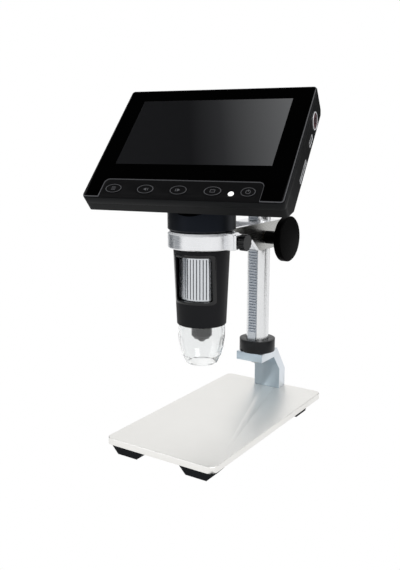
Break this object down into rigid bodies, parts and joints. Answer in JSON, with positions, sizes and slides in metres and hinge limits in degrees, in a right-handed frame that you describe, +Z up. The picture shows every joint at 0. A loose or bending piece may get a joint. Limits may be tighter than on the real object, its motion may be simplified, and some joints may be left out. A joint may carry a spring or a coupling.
{
  "type": "lcd digital microscope",
  "caption": "Desk microscope with a tilted flat display over a tapered barrel, held by a clamp arm on a rack-and-pinion column over a flat stage.",
  "frame": {"origin": "centre of the stage plate's top face", "axes": "+Z up along the column, +X to the right along the stage's short side, the stage's front edge faces -Y"},
  "size_m": [0.1314, 0.1436, 0.2139],
  "materials": {
    "stage_metal": "satin silver",
    "bracket_metal": "satin silver",
    "column_metal": "drawn bright bar",
    "rack_metal": "cut teeth, bright",
    "arm_metal": "brushed with a bright cut edge",
    "screw_steel": "plain steel",
    "dark_screw": "black oxide",
    "bush_brass": "plain",
    "knob_black": "semi gloss black",
    "wheel_metal": "bright cut flutes",
    "shell_black": "matte black",
    "sleeve_black": "black",
    "case_black": "fine matte black",
    "frame_black": "satin black",
    "glass_black": "gloss black front sheet",
    "keypad_black": "matte black",
    "clear_plastic": "clear moulded",
    "nose_grey": "dark grey",
    "lens_glass": "ground glass",
    "board_green": "circuit board",
    "chip_dark": "sensor package",
    "led_white": "white lamp",
    "panel_dark": "display panel",
    "battery_wrap": "foil pouch",
    "rubber_black": "black rubber",
    "port_metal": "plated",
    "nylon_white": "nylon",
    "ribbon_amber": "flat flexible cable"
  },
  "bodies": {
    "stand": {"stage_plate": "stage_metal", "rubber_feet": "rubber_black", "column_bracket": "bracket_metal", "bracket_screws": "screw_steel", "column_bolt": "screw_steel", "column_collar": "knob_black", "collar_grub_screw": "dark_screw", "column": "column_metal", "column_cap": "knob_black", "gear_rack": "rack_metal"},
    "carriage": {"focus_arm": "arm_metal", "pinion_bush_right": "bush_brass", "pinion_bush_left": "bush_brass", "drag_screw": "dark_screw"},
    "focus_drive": {"drive_pinion": "bush_brass", "pinion_shaft": "screw_steel", "shaft_clip": "dark_screw", "focus_knob": "knob_black", "knob_grub_screw": "dark_screw"},
    "clamp_screw": {"clamp_thumb_screw": "knob_black", "clamp_tip_pad": "nylon_white"},
    "microscope": {"barrel_shell": "shell_black", "lens_sleeve": "sleeve_black", "wheel_retainer": "sleeve_black", "sensor_board": "board_green", "image_sensor": "chip_dark", "sensor_spacer": "sleeve_black", "led_board": "board_green", "illumination_leds": "led_white", "lens_nose": "nose_grey", "objective_lens": "lens_glass", "clear_cap": "clear_plastic", "neck_housing": "case_black", "neck_screws": "screw_steel", "sensor_ribbon": "ribbon_amber", "rear_shell": "case_black", "shell_screws": "dark_screw", "front_frame": "frame_black", "front_glass": "glass_black", "keypad_strip": "keypad_black", "status_led": "led_white", "screen_panel": "panel_dark", "main_board": "board_green", "key_board": "board_green", "battery_pack": "battery_wrap", "power_jack": "port_metal", "usb_port": "port_metal", "card_slot": "port_metal"},
    "fine_focus": {"focus_wheel": "wheel_metal"},
    "lens_group": {"lens_carrier": "sleeve_black", "focusing_lens": "lens_glass"},
    "key_1": {"button_1": "keypad_black"},
    "key_2": {"button_2": "keypad_black"},
    "key_3": {"button_3": "keypad_black"},
    "key_4": {"button_4": "keypad_black"},
    "key_power": {"power_button": "keypad_black"}
  },
  "joints": [
    {"name": "carriage_slide", "type": "slide", "parent": "stand", "child": "carriage", "axis": [0, 0, 1], "range_m": [-0.0405, 0.0135]},
    {"name": "knob_turn", "type": "hinge", "parent": "carriage", "child": "focus_drive", "pos_m": [0, 0.035, 0.1127], "axis": [1, 0, 0], "range_deg": [-345, 805]},
    {"name": "microscope_swivel", "type": "hinge", "parent": "carriage", "child": "microscope", "pos_m": [0, -0.0246, 0.1175], "axis": [0, 0, 1], "range_deg": [-55.95, 34.05]},
    {"name": "clamp_screw_turn", "type": "hinge", "parent": "carriage", "child": "clamp_screw", "pos_m": [0.02, -0.0246, 0.1175], "axis": [1, 0, 0], "range_deg": [0, 360]},
    {"name": "focus_wheel_turn", "type": "hinge", "parent": "microscope", "child": "fine_focus", "pos_m": [0, -0.0246, 0.0926], "axis": [0, 0, 1], "range_deg": [-150, 150]},
    {"name": "lens_travel", "type": "slide", "parent": "microscope", "child": "lens_group", "axis": [0, 0, 1], "range_m": [-0.0061, 0.0061]},
    {"name": "key_1_press", "type": "slide", "parent": "microscope", "child": "key_1", "axis": [-0.1303, 0.6733, -0.7278], "range_m": [0, 0.0005], "stiffness_N_per_m": 400},
    {"name": "key_2_press", "type": "slide", "parent": "microscope", "child": "key_2", "axis": [-0.1303, 0.6733, -0.7278], "range_m": [0, 0.0005], "stiffness_N_per_m": 400},
    {"name": "key_3_press", "type": "slide", "parent": "microscope", "child": "key_3", "axis": [-0.1303, 0.6733, -0.7278], "range_m": [0, 0.0005], "stiffness_N_per_m": 400},
    {"name": "key_4_press", "type": "slide", "parent": "microscope", "child": "key_4", "axis": [-0.1303, 0.6733, -0.7278], "range_m": [0, 0.0005], "stiffness_N_per_m": 400},
    {"name": "key_power_press", "type": "slide", "parent": "microscope", "child": "key_power", "axis": [-0.1303, 0.6733, -0.7278], "range_m": [0, 0.0005], "stiffness_N_per_m": 400}
  ],
  "couplings": [
    {"joint": "knob_turn", "follows": "carriage_slide", "rad_per_m": -333.33},
    {"joint": "lens_travel", "follows": "focus_wheel_turn", "m_per_rad": 0.0022918}
  ]
}
